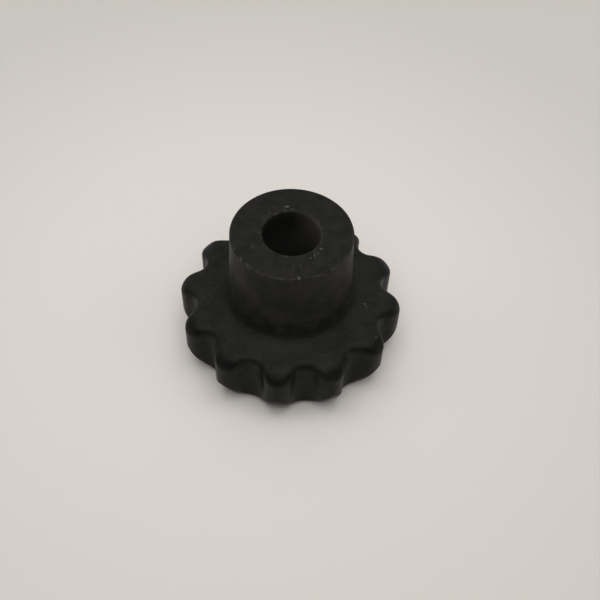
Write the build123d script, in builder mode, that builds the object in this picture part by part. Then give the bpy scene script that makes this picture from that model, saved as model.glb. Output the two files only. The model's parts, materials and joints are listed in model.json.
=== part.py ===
"""Hand knob: a hub with a blind bore on a thick round flange, whose rim is cut into twelve lobes for the fingers.

Millimetres. The knob lies as it rests on a table: its outer face is down, on Z = 0, and its hub points up. The origin is
the centre of the outer face, +Z is the axis of the bore, and one lobe points along +X.
"""

import os
from math import cos, hypot, radians, sin

from build123d import *

# Driving dimensions of the hub and its bore
bore_diameter = 12.0
bore_depth = 25.0
bore_edge_break = 0.3
hub_diameter = 25.0
hub_length = 17.8
hub_draft = 1.4
hub_edge_break = 0.3
hub_base_fillet = 4.5

# Driving dimensions of the grip, whose diameter is the one over the lobes
flange_thickness = 14.4
grip_diameter = 47.1
grip_draft = 1.5
lobe_count = 12
lobe_radius = 3.2
notch_depth = 3.7
rim_top_rounding = 4.4
rim_bottom_rounding = 7.8
lobe_top_rounding = 1.7
lobe_bottom_rounding = 1.5

# The turned rim clears the lobes' tips by this much, so that the tips keep their own arc
rim_clearance = 0.3

# The hub reaches this far down into the flange, and its fillet takes at most this share of the flat round it
hub_overlap = 1.0
fillet_share = 0.95

# Sizes that follow
knob_height = flange_thickness + hub_length
hub_end_radius = hub_diameter / 2
hub_base_radius = hub_end_radius + hub_length * sin(radians(hub_draft))
grip_radius = grip_diameter / 2
valley_radius = grip_radius - notch_depth
half_pitch = 180.0 / lobe_count
rim_radius = grip_radius + rim_clearance
rim_widest_height = flange_thickness - rim_top_rounding
flat_radius = valley_radius - lobe_top_rounding
base_fillet = min(hub_base_fillet, fillet_share * (flat_radius - hub_base_radius))
fillet_foot_radius = hub_base_radius + base_fillet


def polar(radius, angle):
    """The point at this radius and angle, in degrees, round the knob's axis."""
    return (radius * cos(radians(angle)), radius * sin(radians(angle)))


# Centre of a lobe's arc, and of the notch arc that runs on from it without a corner
lobe_centre_radius = grip_radius - lobe_radius
reach = lobe_radius - valley_radius
centre_share = lobe_centre_radius * cos(radians(half_pitch)) + reach
notch_centre_radius = (lobe_centre_radius**2 - reach**2) / (2 * centre_share)


def join_point(lobe, side):
    """Where lobe number `lobe` runs into the notch on its side -1 or +1."""
    lobe_x, lobe_y = polar(lobe_centre_radius, 2 * half_pitch * lobe)
    notch_x, notch_y = polar(notch_centre_radius, half_pitch * (2 * lobe + side))
    share = lobe_radius / hypot(notch_x - lobe_x, notch_y - lobe_y)
    return (lobe_x + share * (notch_x - lobe_x), lobe_y + share * (notch_y - lobe_y))


def wall_rims(part, towards_hub):
    """The edges that end the drafted walls of the lobes and notches, on the hub's side or on the outer face's."""
    walls = part.faces().filter_by(GeomType.CONE)
    rims = ShapeList(edge for wall in walls for edge in wall.edges())
    rims = rims.filter_by(GeomType.LINE, reverse=True)
    return rims.filter_by(lambda edge: ((edge @ 0.5).Z > flange_thickness / 2) == towards_hub)


with BuildPart() as hand_knob:
    # The grip: lobes and notches in one wavy outline, drawn in towards the outer face by the draft
    with BuildSketch(Plane.XY.offset(flange_thickness)):
        with BuildLine():
            for lobe in range(lobe_count):
                tip = polar(grip_radius, 2 * half_pitch * lobe)
                valley = polar(valley_radius, half_pitch * (2 * lobe + 1))
                ThreePointArc(join_point(lobe, -1), tip, join_point(lobe, 1))
                ThreePointArc(join_point(lobe, 1), valley, join_point(lobe + 1, -1))
        make_face()
    extrude(amount=-flange_thickness, taper=grip_draft)

    # Its rim is rounded as if it were turned: a quarter circle towards the hub, and from its foot, where the rim is
    # widest, a long quarter ellipse down to the outer face
    with BuildSketch(Plane.XZ):
        face_radius = rim_radius - rim_bottom_rounding
        flange_edge = (rim_radius - rim_top_rounding, flange_thickness)
        with BuildLine():
            Line((0, 0), (face_radius, 0))
            EllipticalCenterArc(
                (face_radius, rim_widest_height),
                rim_bottom_rounding,
                rim_widest_height,
                start_angle=270,
                arc_size=90,
            )
            RadiusArc((rim_radius, rim_widest_height), flange_edge, -rim_top_rounding)
            Polyline(flange_edge, (0, flange_thickness), (0, 0))
        make_face()
    revolve(axis=Axis.Z, mode=Mode.INTERSECT)

    # The wavy edges that are left round both sides of the grip are softened
    fillet(wall_rims(hand_knob.part, towards_hub=True), radius=lobe_top_rounding)
    fillet(wall_rims(hand_knob.part, towards_hub=False), radius=lobe_bottom_rounding)

    # The hub, drafted towards its end, with a fillet that runs out on the flange
    with BuildSketch(Plane.XZ):
        hub_foot = flange_thickness - hub_overlap
        hub_corner = (hub_base_radius, flange_thickness)
        hub_end = (hub_end_radius, knob_height)
        with BuildLine():
            Polyline(
                (0, hub_foot),
                (fillet_foot_radius, hub_foot),
                (fillet_foot_radius, flange_thickness),
                hub_corner,
                hub_end,
                (0, knob_height),
                close=True,
            )
        make_face()
        fillet(vertices().sort_by_distance(hub_corner)[0], radius=base_fillet)
        fillet(vertices().sort_by_distance(hub_end)[0], radius=hub_edge_break)
    revolve(axis=Axis.Z)

    # The bore, blind from the end of the hub, with its mouth's edge broken
    with Locations((0, 0, knob_height)):
        Hole(radius=bore_diameter / 2, depth=bore_depth)
    end_rings = edges().filter_by(GeomType.CIRCLE).group_by(Axis.Z)[-1]
    chamfer(end_rings.sort_by(SortBy.RADIUS)[0], length=bore_edge_break)

hand_knob.part.label = "hand_knob"
os.makedirs("parts", exist_ok=True)
export_step(hand_knob.part, "parts/hand_knob.step")
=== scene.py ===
# %% [markdown]
# # A black hand knob
#
# This lesson dresses one moulded part: a hand knob with twelve lobes round its rim and a plain hub with a
# bore. The solid comes ready made, at its real size. Blender adds what a solid lacks: the grain of the
# moulding, a finish that changes from zone to zone, the small chips that use has left, and a soft light to
# see them by.

import json
import math

import bpy
import numpy as np
from mathutils import Matrix, Vector
from mathutils.bvhtree import BVHTree


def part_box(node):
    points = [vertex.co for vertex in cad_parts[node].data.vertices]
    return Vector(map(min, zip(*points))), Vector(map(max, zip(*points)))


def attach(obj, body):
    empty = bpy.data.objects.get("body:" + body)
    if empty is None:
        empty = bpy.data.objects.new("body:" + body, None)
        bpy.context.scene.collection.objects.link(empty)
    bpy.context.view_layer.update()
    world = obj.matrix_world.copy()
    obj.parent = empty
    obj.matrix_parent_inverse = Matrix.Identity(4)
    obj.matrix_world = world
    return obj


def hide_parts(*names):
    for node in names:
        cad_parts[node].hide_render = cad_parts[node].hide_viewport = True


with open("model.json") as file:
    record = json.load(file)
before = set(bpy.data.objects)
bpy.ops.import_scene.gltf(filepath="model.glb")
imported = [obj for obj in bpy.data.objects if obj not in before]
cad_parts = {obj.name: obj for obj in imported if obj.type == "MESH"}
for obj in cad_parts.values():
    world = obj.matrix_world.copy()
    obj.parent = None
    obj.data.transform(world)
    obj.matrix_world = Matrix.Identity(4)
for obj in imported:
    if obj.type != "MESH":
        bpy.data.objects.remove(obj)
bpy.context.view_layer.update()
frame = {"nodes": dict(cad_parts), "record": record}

# %% [markdown]
# ## The knob's own sizes
#
# The height of the knob is read from the solid, and the bore's radius from the part's record. The other
# sizes repeat the part's own, because a net that is laid over the solid has to know where its edges are.
# Lengths are in metres.

# %% Name the sizes
MM = 0.001
_, knob_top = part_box("hand_knob")
knob_height = knob_top.z
bore_mount = next(m for m in frame["record"]["mounts"] if m["name"] == "shaft_bore")
bore_radius = bore_mount["dims"]["r_mm"] * MM

bore_depth = 25.0 * MM
bore_edge_break = 0.3 * MM
hub_radius = 12.5 * MM
hub_edge_break = 0.3 * MM
hub_draft = math.radians(1.4)
flange_top = 14.4 * MM
base_fillet = 4.5 * MM
lobe_count = 12
hub_base_radius = hub_radius + (knob_height - flange_top) * math.sin(hub_draft)
bore_floor = knob_height - bore_depth
print("height %.1f mm, bore %.1f mm" % (knob_height / MM, 2 * bore_radius / MM))

# %% [markdown]
# ## A net over the solid
#
# A solid that comes out of a CAD program is cut into long thin triangles. They show its form well, but
# there is nowhere on them to dent a surface by a tenth of a millimetre. So the visible knob is a new skin:
# a net of small quads that is shot onto the solid from inside. Every section through the axis is walked
# from the middle of the bore's floor, up the bore, over the hub, down to the flange, round the rim and in
# under the outer face. Each station of that walk is a ray. The ray starts inside the plastic and stops at
# the solid's surface, so the skin has the solid's form, lobes and all.

# %% Aim rays in one section, each as (radius, height, share outwards, share upwards)
skin_depth = 1.5 * MM
edge_gap = 0.015 * MM
pole_gap = 0.9 * MM
wall_middle = (bore_radius + hub_radius) / 2


def spread(start, end, count):
    """Evenly spaced values from start to end, both included."""
    return [start + (end - start) * i / (count - 1) for i in range(count)]


def fan(radius, height, first, last, count):
    """Rays from one point, turning from the first angle to the last, in degrees above the horizontal."""
    turns = [math.radians(angle) for angle in spread(first, last, count)]
    return [(radius, height, math.cos(turn), math.sin(turn)) for turn in turns]


print("rays start %.1f mm under the surface" % (skin_depth / MM))

# %% The bore: its floor, its wall and the broken edge of its mouth
bore_floor_rings, bore_wall_rings = 6, 16
mouth_shares = (0.04, 0.5, 0.96)
diagonal = math.sqrt(0.5)

floor_radii = spread(pole_gap, bore_radius - edge_gap, bore_floor_rings)
stations = [(radius, bore_floor - skin_depth, 0.0, 1.0) for radius in floor_radii]
wall_heights = spread(bore_floor + edge_gap, knob_height - bore_edge_break - edge_gap, bore_wall_rings)
stations += [(wall_middle, height, -1.0, 0.0) for height in wall_heights]
for share in mouth_shares:
    edge_radius = bore_radius + bore_edge_break * share
    edge_height = knob_height - bore_edge_break * (1 - share)
    stations.append((edge_radius + skin_depth, edge_height - skin_depth, -diagonal, diagonal))
print("rays in the bore:", len(stations))

# %% The hub: its end face, its edge, its wall and the hollow at its foot
end_face_rings, hub_edge_rings, hub_wall_rings, hollow_rings = 40, 5, 28, 14
edge_turn_first, edge_turn_last = 84, 6

end_face_start = bore_radius + bore_edge_break + edge_gap
end_radii = spread(end_face_start, hub_radius - hub_edge_break - edge_gap, end_face_rings)
stations += [(radius, knob_height - skin_depth, 0.0, 1.0) for radius in end_radii]
edge_centre = (hub_radius - hub_edge_break, knob_height - hub_edge_break)
stations += fan(*edge_centre, edge_turn_first, edge_turn_last, hub_edge_rings)
hollow_centre = (hub_base_radius + base_fillet, flange_top + base_fillet)
wall_heights = spread(knob_height - hub_edge_break - edge_gap, hollow_centre[1], hub_wall_rings)
stations += [(wall_middle, height, 1.0, 0.0) for height in wall_heights]
hollow_reach = base_fillet + skin_depth
for turn in spread(180, 270, hollow_rings + 2)[1:-1]:
    outwards, upwards = math.cos(math.radians(turn)), math.sin(math.radians(turn))
    start = (hollow_centre[0] + hollow_reach * outwards, hollow_centre[1] + hollow_reach * upwards)
    stations.append((*start, -outwards, -upwards))
turned_count = len(stations)
print("rays down to the flange:", turned_count)

# %% The rim with its lobes, and the outer face under it
rim_rings, outer_face_rings = 96, 11
core_gap = 0.2 * MM

core_radius = hub_base_radius + base_fillet + core_gap
stations += fan(core_radius, flange_top / 2, 90, -90, rim_rings)
outer_face_radii = spread(core_radius, pole_gap, outer_face_rings + 1)[1:]
stations += [(radius, skin_depth, 0.0, -1.0) for radius in outer_face_radii]
print("rays in one section:", len(stations))

# %% Shoot the net
steps_per_lobe = 36
turn_steps = lobe_count * steps_per_lobe
turn_angles = [2 * math.pi * i / turn_steps for i in range(turn_steps)]
solid = frame["nodes"]["hand_knob"].data
solid_points = [vertex.co.copy() for vertex in solid.vertices]
solid_tree = BVHTree.FromPolygons(solid_points, [tuple(polygon.vertices) for polygon in solid.polygons])


def shoot(station, angle):
    """The point where this station's ray leaves the plastic, in the section at this angle."""
    radius, height, outwards, upwards = station
    spoke = Vector((math.cos(angle), math.sin(angle), 0))
    start = spoke * radius + Vector((0, 0, height))
    return solid_tree.ray_cast(start, spoke * outwards + Vector((0, 0, upwards)))[0]


net = np.array([[shoot(station, angle) for angle in turn_angles] for station in stations])
print("net:", net.shape[0], "rings of", net.shape[1], "points")

# %% [markdown]
# ## Rings that are truly round
#
# The solid's round walls are made of flat facets, and a hub that is seen along its wall shows them as faint
# streaks. The hub, the bore and the hollow at the hub's foot are turned shapes, so each of their rings gets
# one radius and one height: the mean of its points. The rings of the rim and of the outer face keep the
# shape that the rays found.

# %% Make the turned rings round
spokes = np.array([[math.cos(angle), math.sin(angle)] for angle in turn_angles])
turned = net[:turned_count]
ring_radii = np.linalg.norm(turned[:, :, :2], axis=2).mean(axis=1)
turned[:, :, :2] = ring_radii[:, None, None] * spokes
turned[:, :, 2] = turned[:, :, 2].mean(axis=1, keepdims=True)
print("rings made round:", turned_count, "and the highest point is at", net[..., 2].max())

# %% [markdown]
# ## Chips and rubs
#
# The hub has been knocked where it meets other things: there are pale nicks by the mouth of the bore and
# along the hub's edge, and a few smaller marks on the end face and the flange. They are real dents, so they
# catch the light from any side. Each one is a small hollow pressed into the net. Its place is an angle in
# degrees and a radius in millimetres, and its length runs at a slant that is given in degrees. The last
# number says how pale the broken plastic is.

# %% List the marks: angle, radius, length, width, depth, slant, and how pale it is
end_face_marks = [
    (104.5, 7.3, 0.95, 0.42, 0.10, 8, 1.00),
    (96.0, 6.5, 0.55, 0.25, 0.08, -20, 0.55),
    (320.6, 7.45, 0.50, 0.30, 0.08, 30, 0.55),
    (314.0, 7.45, 1.30, 0.20, 0.06, 55, 0.70),
    (306.0, 7.6, 0.35, 0.22, 0.06, 40, 0.80),
    (331.0, 7.15, 0.75, 0.40, 0.09, 125, 0.85),
    (319.5, 6.6, 0.30, 0.20, 0.05, 0, 0.55),
    (283.5, 12.0, 0.70, 0.45, 0.12, 80, 1.00),
    (212.8, 8.6, 0.70, 0.35, 0.04, 0, 0.30),
    (219.7, 6.9, 0.30, 0.25, 0.04, 20, 0.30),
    (137.2, 7.0, 0.60, 0.25, 0.05, 30, 0.35),
    (151.6, 6.75, 0.50, 0.20, 0.04, 60, 0.30),
    (42.3, 9.1, 0.30, 0.25, 0.04, 0, 0.30),
    (240.1, 7.9, 0.30, 0.25, 0.04, 0, 0.25),
    (267.4, 6.35, 0.90, 0.22, 0.06, 0, 0.60),
    (222.8, 12.25, 1.00, 0.20, 0.08, 130, 0.60),
    (231.8, 12.25, 0.80, 0.20, 0.08, 140, 0.50),
    (279.0, 9.4, 1.30, 0.22, 0.03, 90, 0.25),
    (287.8, 9.0, 1.10, 0.22, 0.03, 92, 0.30),
    (186.6, 6.35, 0.90, 0.18, 0.05, 95, 0.35),
]
flange_marks = [
    (353.7, 16.0, 0.40, 0.25, 0.05, 0, 0.9),
    (351.3, 16.6, 0.45, 0.22, 0.05, 40, 0.6),
    (332.7, 21.3, 0.45, 0.30, 0.06, 0, 0.6),
]
print("marks on the end face:", len(end_face_marks), "and on the flange:", len(flange_marks))

# %% Press the marks into the net
mark_raggedness = 0.25
ripples_along, ripples_across = 7, 5
mark_steepness = 1.5
pale_enough = 0.1
flange_zone = (flange_top - 5 * MM, flange_top + 2 * MM)
paleness = np.zeros(net.shape[:2])


def press(mark, where):
    """Hollows the net under one mark and notes how pale the plastic is there."""
    angle, radius, length, width, depth, slant, pale = mark
    angle = math.radians(angle)
    here = np.array([radius * math.cos(angle), radius * math.sin(angle)]) * MM
    lean = math.radians(slant) + angle - math.pi / 2
    away = net[..., :2] - here
    run = (away[..., 0] * math.cos(lean) + away[..., 1] * math.sin(lean)) / (length * MM / 2)
    side = (away[..., 1] * math.cos(lean) - away[..., 0] * math.sin(lean)) / (width * MM / 2)
    ragged = 1 + mark_raggedness * np.sin(ripples_along * run + angle) * np.cos(ripples_across * side)
    hollow = np.exp(-(((run**2 + side**2) * ragged) ** mark_steepness)) * where
    net[..., 2] -= hollow * depth * MM
    np.maximum(paleness, hollow * pale, out=paleness)


on_end_face = (net[..., 2] > knob_height - 2 * hub_edge_break).astype(float)
on_flange = ((net[..., 2] > flange_zone[0]) & (net[..., 2] < flange_zone[1])).astype(float)
for mark in end_face_marks:
    press(mark, on_end_face)
for mark in flange_marks:
    press(mark, on_flange)
print("points under a mark:", int((paleness > pale_enough).sum()))

# %% [markdown]
# ## One closed skin
#
# The rings are joined by quads, and the two open ends, in the bore's floor and in the outer face, are each
# closed by a fan of triangles round one point on the axis. What comes out is watertight, as a moulding is.
# Shading is smooth, with a crease wherever two faces meet at more than 35 degrees, as they do where the
# bore's wall meets its floor.

# %% Join the rings into faces
ring_count, point_count = net.shape[:2]
points = [tuple(p) for p in net.reshape(-1, 3)]
faces = []
for ring in range(ring_count - 1):
    upper, lower = ring * point_count, (ring + 1) * point_count
    for step in range(point_count):
        after = (step + 1) % point_count
        faces.append((upper + step, lower + step, lower + after, upper + after))
bore_pole, face_pole = len(points), len(points) + 1
points += [(0, 0, bore_floor), (0, 0, 0)]
last_ring = (ring_count - 1) * point_count
for step in range(point_count):
    after = (step + 1) % point_count
    faces.append((bore_pole, step, after))
    faces.append((face_pole, last_ring + after, last_ring + step))
print("points:", len(points), "and faces:", len(faces))

# %% Make the piece that stands for the solid
crease_angle = math.radians(35)
skin = bpy.data.meshes.new("knob_moulding")
skin.from_pydata(points, [], faces)
skin.shade_smooth()
skin.set_sharp_from_angle(angle=crease_angle)
pale = skin.attributes.new("pale", "FLOAT", "POINT")
pale.data.foreach_set("value", np.append(paleness.ravel(), [0, 0]).astype(np.float32))
knob = bpy.data.objects.new("knob_moulding", skin)
bpy.context.scene.collection.objects.link(knob)
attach(knob, "root")
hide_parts("hand_knob")
print("faces in the mesh:", len(skin.polygons))

# %% [markdown]
# ## The moulded plastic
#
# The knob is a black moulding compound, the same all through. It isn't one flat black: the flange came out
# of the mould with a fine grain, the hub is smoother and has been rubbed, and the hub's end has been
# scuffed. One material holds all of them, because the part is one piece. Painting them on a picture would
# need an unwrapped net, and would look right at one distance only. So masks are made from the height and
# the radius of each spot, which say what zone it is in, and noises of different sizes give each zone its
# clouds and its grain.

# %% Helpers that wire nodes
def wire(tree):
    """Points the helpers below at this node tree."""
    global nodes, links
    nodes, links = tree.nodes, tree.links


def coordinates(kind):
    """The place of a spot in these coordinates, whole and split into X, Y and Z."""
    whole = nodes.new("ShaderNodeTexCoord").outputs[kind]
    split = nodes.new("ShaderNodeSeparateXYZ")
    links.new(whole, split.inputs[0])
    return whole, split.outputs["X"], split.outputs["Y"], split.outputs["Z"]


def ramp(value, low, high, first, second):
    """Maps a value between low and high onto first to second, and holds it outside them."""
    node = nodes.new("ShaderNodeMapRange")
    for name, number in (("From Min", low), ("From Max", high), ("To Min", first), ("To Max", second)):
        node.inputs[name].default_value = number
    links.new(value, node.inputs["Value"])
    return node.outputs["Result"]


def maths(kind, *values):
    """One sum of numbers and sockets."""
    node = nodes.new("ShaderNodeMath")
    node.operation = kind
    for socket, value in zip(node.inputs, values):
        if isinstance(value, (int, float)):
            socket.default_value = value
        else:
            links.new(value, socket)
    return node.outputs[0]


def both(one, other):
    """Where both masks are set."""
    return maths("MULTIPLY", one, other)


print("helpers are ready")

# %% Start the plastic
plastic = bpy.data.materials.new("black_moulding_compound")
plastic.use_nodes = True
wire(plastic.node_tree)
shader = nodes["Principled BSDF"]
place, spot_x, spot_y, height = coordinates("Object")
radius = maths("SQRT", maths("ADD", maths("POWER", spot_x, 2), maths("POWER", spot_y, 2)))


def noise(size, detail):
    """A noise whose lumps are about this size, in metres."""
    node = nodes.new("ShaderNodeTexNoise")
    node.inputs["Scale"].default_value = 1 / size
    node.inputs["Detail"].default_value = detail
    links.new(place, node.inputs["Vector"])
    return node.outputs["Fac"]


def blend_colours(amount, first, second):
    """The first colour where the amount is 0, the second where it is 1."""
    node = nodes.new("ShaderNodeMix")
    node.data_type = "RGBA"
    links.new(amount, node.inputs["Factor"])
    for socket, value in ((node.inputs["A"], first), (node.inputs["B"], second)):
        if isinstance(value, tuple):
            socket.default_value = value
        else:
            links.new(value, socket)
    return node.outputs["Result"]


skin.materials.append(plastic)
print("material:", plastic.name)

# %% [markdown]
# ## The flange and the rim
#
# The flange is a dull grey-green black with a fine mottle, as the mould left it. The rim is painted darker,
# as painted shade on its sides and under its edge. Painted shade also darkens the hollow at the hub's foot,
# most of it on the front side. The edge of each zone is bent by a noise or fades over a short way, so that
# none of them stops on a line.

# %% Colour the flange, and paint shade on the rim and in the hollow
skin_dark, skin_light = (0.0080, 0.0083, 0.0072, 1), (0.0222, 0.0226, 0.0200, 1)
# Painted shade: the rim's sides and underside get these colours, darker than the flange's.
rim_shade_dark, rim_shade_light = (0.0034, 0.0044, 0.0037, 1), (0.0082, 0.0090, 0.0077, 1)
# Painted shade for the hollow at the hub's foot.
hollow_painted_shade = (0.0056, 0.0058, 0.0052, 1)
mottle_share, cloud_share = 0.55, 0.45

ragged_height = maths("ADD", height, ramp(noise(2.4 * MM, 4), 0.3, 0.7, -1.3 * MM, 1.3 * MM))
is_rim = ramp(height, flange_top - 0.2 * MM, flange_top - 0.9 * MM, 0, 1)
recess_radius = hub_base_radius + 0.25 * base_fillet
is_recess = both(
    ramp(radius, recess_radius + 0.4 * MM, recess_radius - 0.3 * MM, 0, 1),
    ramp(ragged_height, flange_top + 5.5 * MM, flange_top + 2.5 * MM, 0, 1),
)
# The painted shade in the hollow is strongest on the front side.
shaded_front_side = ramp(spot_y, 0.0, -9 * MM, 0.25, 1)

clouds = ramp(noise(4.2 * MM, 3), 0.36, 0.64, 0, 1)
patches = ramp(noise(2.1 * MM, 5), 0.38, 0.64, 0, 1)
mottle = ramp(noise(0.42 * MM, 3), 0.35, 0.68, 0, 1)
mixed = maths("MULTIPLY_ADD", mottle, mottle_share, maths("MULTIPLY", clouds, cloud_share))
colour = blend_colours(mixed, skin_dark, skin_light)
# Paint shade onto the rim below the flange's top.
colour = blend_colours(is_rim, colour, blend_colours(patches, rim_shade_dark, rim_shade_light))
# Paint shade into the hollow at the hub's foot.
colour = blend_colours(both(is_recess, shaded_front_side), colour, hollow_painted_shade)
print("nodes in the plastic:", len(nodes))

# %% [markdown]
# ## The hub and its end
#
# The hub has been handled more than the rest, so it is browner, in patches some millimetres wide. It starts
# a little above the flange, on a ragged line. The end face has the same patches with less contrast.

# %% Colour the hub and its end face
hub_dark, hub_brown = (0.0098, 0.0107, 0.0094, 1), (0.0232, 0.0216, 0.0190, 1)
face_dark, face_brown = (0.0100, 0.0104, 0.0095, 1), (0.0170, 0.0162, 0.0147, 1)
blotch_share, patch_share = 0.7, 0.3

is_hub = ramp(ragged_height, flange_top + 3.0 * MM, flange_top + 6.5 * MM, 0, 1)
is_end_face = ramp(height, knob_height - 0.25 * MM, knob_height - 0.1 * MM, 0, 1)
blotches = ramp(noise(4.8 * MM, 4), 0.40, 0.62, 0, 1)
mixed = maths("MULTIPLY_ADD", blotches, blotch_share, maths("MULTIPLY", patches, patch_share))
colour = blend_colours(is_hub, colour, blend_colours(mixed, hub_dark, hub_brown))
colour = blend_colours(is_end_face, colour, blend_colours(patches, face_dark, face_brown))
print("nodes in the plastic:", len(nodes))

# %% [markdown]
# ## Inside the bore
#
# Hardly any light gets down a deep hole, so a bore in black plastic is nearly black. This one is painted a
# little paler further down, as painted light on its far wall, and near its mouth its right side carries a
# patchy painted highlight, where light from the left falls on it.

# %% Colour the bore
# Painted light: the deeper part of the bore gets the paler grey.
bored_grey, deep_painted_light_grey = (0.0150, 0.0145, 0.0135, 1), (0.026, 0.0257, 0.0247, 1)
# A painted highlight for the right side of the bore near its mouth.
bore_painted_highlight = (0.110, 0.104, 0.090, 1)

is_bore = ramp(radius, bore_radius + 0.02 * MM, bore_radius + 0.12 * MM, 1, 0)
is_deep = ramp(height, knob_height - 3 * MM, knob_height - 9 * MM, 0, 1)
is_lit_side = both(
    ramp(spot_x, -0.1 * bore_radius, bore_radius, 0, 1),
    ramp(height, knob_height - 12 * MM, knob_height - 3 * MM, 0, 1),
)
lit_patches = ramp(noise(2.5 * MM, 3), 0.3, 0.6, 0.6, 0.9)
in_bore = blend_colours(is_deep, bored_grey, deep_painted_light_grey)
# Paint the highlight in patches onto the bore's right side.
in_bore = blend_colours(both(is_lit_side, lit_patches), in_bore, bore_painted_highlight)
colour = blend_colours(is_bore, colour, in_bore)
print("nodes in the plastic:", len(nodes))

# %% [markdown]
# ## Worn edges and chips
#
# Edges wear first. The outer edge of the hub's end and the mouth of the bore are rubbed to grey in places,
# and grey crumbs are scattered over the end face. The chips were pressed into the net before, and the mesh
# keeps how pale each point is in an attribute. The material reads it, so the pale spots lie exactly in the
# dents.

# %% Colour the worn edges, the crumbs and the chips
worn_grey = (0.050, 0.0475, 0.0425, 1)
chipped_grey = (0.135, 0.13, 0.118, 1)

is_hub_edge = both(
    ramp(radius, hub_radius - 0.5 * MM, hub_radius - 0.2 * MM, 0, 1),
    ramp(height, knob_height - 0.6 * MM, knob_height - 0.25 * MM, 0, 1),
)
is_mouth = both(
    ramp(radius, bore_radius + 0.45 * MM, bore_radius + 0.2 * MM, 0, 1),
    ramp(height, knob_height - 0.6 * MM, knob_height - 0.3 * MM, 0, 1),
)
worn = ramp(noise(1.1 * MM, 4), 0.42, 0.66, 0, 0.65)
colour = blend_colours(both(maths("MAXIMUM", is_hub_edge, is_mouth), worn), colour, worn_grey)
crumbs = ramp(noise(0.38 * MM, 2), 0.70, 0.76, 0, 0.5)
colour = blend_colours(both(is_end_face, crumbs), colour, worn_grey)
pale_mark = nodes.new("ShaderNodeAttribute")
pale_mark.attribute_name = "pale"
broken = ramp(noise(0.12 * MM, 2), 0.35, 0.6, 0.45, 1)
colour = blend_colours(both(pale_mark.outputs["Fac"], broken), colour, chipped_grey)
links.new(colour, shader.inputs["Base Color"])
print("nodes in the plastic:", len(nodes))

# %% [markdown]
# ## Sheen and grain
#
# The grained flange is the dullest zone. The hub is smoother, and the rim is smoothest of all, because
# fingers polish it, so it shows a soft dark band under its edge, which the painted shade in its colour
# makes darker. The same zones share out the grain: it is full on the flange and weak on the rim and the
# hub. The grain is finer than the quads of the net, so it is a bump in the material. All that can be seen
# as shape is in the mesh.

# %% Set the sheen
dull_low, dull_high = 0.60, 0.70
rim_smoothing, hub_smoothing = 0.24, 0.14

dullness = ramp(noise(3 * MM, 4), 0.3, 0.7, dull_low, dull_high)
rim_polish, hub_polish = maths("MULTIPLY", is_rim, rim_smoothing), maths("MULTIPLY", is_hub, hub_smoothing)
smoothing = maths("MAXIMUM", rim_polish, hub_polish)
links.new(maths("SUBTRACT", dullness, smoothing), shader.inputs["Roughness"])
shader.inputs["Specular IOR Level"].default_value = 0.095
print("roughness from", round(dull_low - rim_smoothing, 2), "to", dull_high)

# %% Add the grain and the pits
grain_lost = 0.8
pit_depth = 0.25

grained = maths("SUBTRACT", 1.0, maths("MULTIPLY", maths("MAXIMUM", is_rim, is_hub), grain_lost))
grain = both(noise(0.38 * MM, 3), grained)
pits = maths("MULTIPLY", ramp(noise(1.2 * MM, 5), 0.55, 0.75, 0, 1), pit_depth)
bump = nodes.new("ShaderNodeBump")
bump.inputs["Strength"].default_value = 0.6
bump.inputs["Distance"].default_value = 0.11 * MM
links.new(maths("SUBTRACT", grain, pits), bump.inputs["Height"])
links.new(bump.outputs[0], shader.inputs["Normal"])
print("nodes in the plastic:", len(nodes))

# %% [markdown]
# ## The sheet under the knob
#
# The knob lies on a plain pale sheet. Its colour paints a soft pool of light on it, so it is a little paler
# in the middle than at the edge of the picture. The lamps light only its middle, so further out it runs
# into a pale glow of its own, and a view from low down shows a pale backdrop and no dark horizon. That glow
# is too far away and too low to add much light.

# %% Lay the pale sheet
sheet_size = 4.0
# The middle of the pool of light painted onto the sheet.
middle_x, middle_y = -12 * MM, 18 * MM
fade_start, fade_end = 40 * MM, 105 * MM
# Painted light: the sheet's colour in the middle of the pool, and outside it.
sheet_painted_light, sheet_rim = (0.765, 0.732, 0.706, 1), (0.655, 0.634, 0.606, 1)

bpy.ops.mesh.primitive_plane_add(size=sheet_size)
sheet = bpy.context.object
sheet.name = "pale_sheet"
paper = bpy.data.materials.new("pale_paper")
paper.use_nodes = True
wire(paper.node_tree)
matt = nodes["Principled BSDF"]
_, sheet_x, sheet_y, _ = coordinates("Object")
along_x = maths("POWER", maths("SUBTRACT", sheet_x, middle_x), 2)
along_y = maths("POWER", maths("SUBTRACT", sheet_y, middle_y), 2)
out_from_middle = maths("SQRT", maths("ADD", along_x, along_y))
is_sheet_rim = ramp(out_from_middle, fade_start, fade_end, 0, 1)
links.new(blend_colours(is_sheet_rim, sheet_painted_light, sheet_rim), matt.inputs["Base Color"])
matt.inputs["Roughness"].default_value = 0.9
sheet.data.materials.append(paper)
print("sheet:", sheet_size, "m wide")

# %% Let the far sheet run into a pale glow
glow_start, glow_full = 0.2, 0.55
backdrop = (0.66, 0.635, 0.605, 1)

glow = nodes.new("ShaderNodeEmission")
glow.inputs["Color"].default_value = backdrop
run_out = nodes.new("ShaderNodeMixShader")
links.new(ramp(out_from_middle, glow_start, glow_full, 0, 1), run_out.inputs[0])
links.new(matt.outputs[0], run_out.inputs[1])
links.new(glow.outputs[0], run_out.inputs[2])
links.new(run_out.outputs[0], nodes["Material Output"].inputs["Surface"])
print("glow starts at", glow_start, "m")

# %% [markdown]
# ## The camera
#
# The camera looks down at the knob from the front, with a slight turn and a slight roll. Its place is
# worked out from the middle of the hub's end: so far to the side, so far down, and so far back along the
# line of sight.

# %% Place the camera
turn_of_view = math.radians(4.97)
view_height = math.radians(50.4)
view_roll = math.radians(2.22)
view_distance = 224.4 * MM
aim_right, aim_down = 2.13 * MM, 13.35 * MM
lens_mm, sensor_mm = 67.6, 36.0
nearest_seen = 10 * MM

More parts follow.
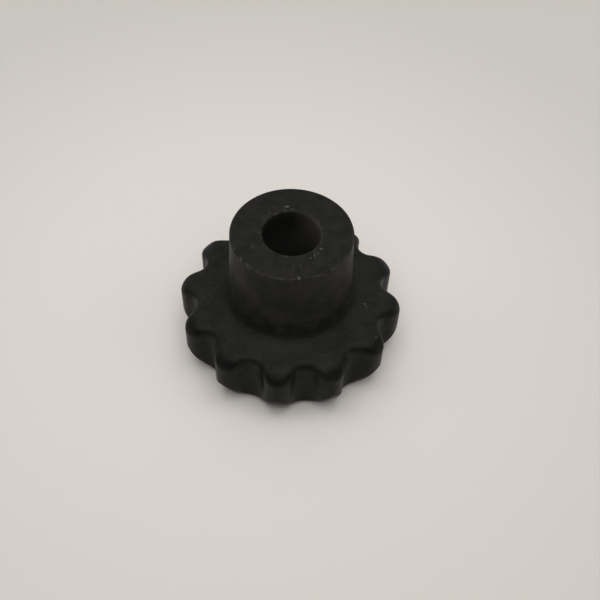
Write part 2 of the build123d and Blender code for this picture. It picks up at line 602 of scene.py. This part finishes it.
spin = Matrix.Rotation(turn_of_view, 3, "Z")
forward = spin @ Vector((0, math.cos(view_height), -math.sin(view_height)))
level_right = spin @ Vector((1, 0, 0))
level_up = level_right.cross(forward)
right = level_right * math.cos(view_roll) + level_up * math.sin(view_roll)
up = right.cross(forward)
hub_end = Vector((0, 0, knob_height))
eye = hub_end + level_right * aim_right - level_up * aim_down - forward * view_distance
camera_data = bpy.data.cameras.new("bench_camera")
camera_data.lens = lens_mm
camera_data.sensor_width = sensor_mm
camera_data.clip_start = nearest_seen
camera = bpy.data.objects.new("bench_camera", camera_data)
camera.matrix_world = Matrix.Translation(eye) @ Matrix((right, up, -forward)).transposed().to_4x4()
bpy.context.scene.collection.objects.link(camera)
bpy.context.scene.camera = camera
print("camera %.0f mm from the hub's end" % ((eye - hub_end).length / MM))

# %% [markdown]
# ## The lamps
#
# A broad soft lamp hangs above the knob, with a weaker one at the back, the front and each side. The side
# lamps draw the thin bright lines down the hub and the lobes. Broad lamps give soft shadows, and the knob's
# own shadow stays close round its foot.

# %% Hang the lamps
def lamp(name, side, back, high, size, watts):
    """A flat lamp of this width and length that looks at the knob from this far right, back and high."""
    data = bpy.data.lights.new(name, "AREA")
    data.shape = "RECTANGLE"
    data.size, data.size_y = size
    data.energy = watts
    data.color = (1.0, 0.985, 0.96)
    hung = bpy.data.objects.new(name, data)
    hung.location = spin @ Vector((side, back, high))
    hung.rotation_euler = (-hung.location).to_track_quat("-Z", "Y").to_euler()
    bpy.context.scene.collection.objects.link(hung)
    print(name, watts, "W")


lamp("lamp_above", 0.0, -0.12, 0.90, (0.75, 0.80), 4.35)
lamp("lamp_back", 0.0, 0.5, 0.75, (0.8, 0.37), 0.8)
lamp("lamp_left", -0.5, 0.0, 0.75, (0.37, 0.8), 0.88)
lamp("lamp_right", 0.5, 0.0, 0.75, (0.37, 0.8), 0.80)
lamp("lamp_front", 0.0, -0.5, 0.75, (0.8, 0.37), 1.5)

# %% [markdown]
# ## The room
#
# Round the lamps is a plain room: pale walls that get darker towards the ceiling, and a dim opening at the
# front. A smooth black part shows what it mirrors as much as its own colour, and the opening makes the dark
# band under the edge of the rim, together with the painted shade in the rim's colour. Low down the walls
# are pale on every side.

# %% Build the room
walls_end, ceiling_start = 0.25, 0.45
wall_strength, ceiling_strength = 0.65, 0.15
opening_start, opening_end, opening_share = -0.5, -0.1, 0.15
skirting_start, skirting_end = 0.04, 0.12

room = bpy.data.worlds.new("pale_walls")
room.use_nodes = True
wire(room.node_tree)
_, _, looks_back, looks_up = coordinates("Generated")
walls = ramp(looks_up, walls_end, ceiling_start, wall_strength, ceiling_strength)
opening = ramp(looks_back, opening_start, opening_end, opening_share, 1.0)
skirting = ramp(looks_up, skirting_start, skirting_end, 1.0, 0.0)
room_light = nodes["Background"]
links.new(both(walls, maths("MAXIMUM", opening, skirting)), room_light.inputs["Strength"])
room_light.inputs["Color"].default_value = (1, 0.98, 0.95, 1)
bpy.context.scene.world = room
bpy.context.scene.view_settings.view_transform = "Standard"
print("walls at", wall_strength, "and ceiling at", ceiling_strength)
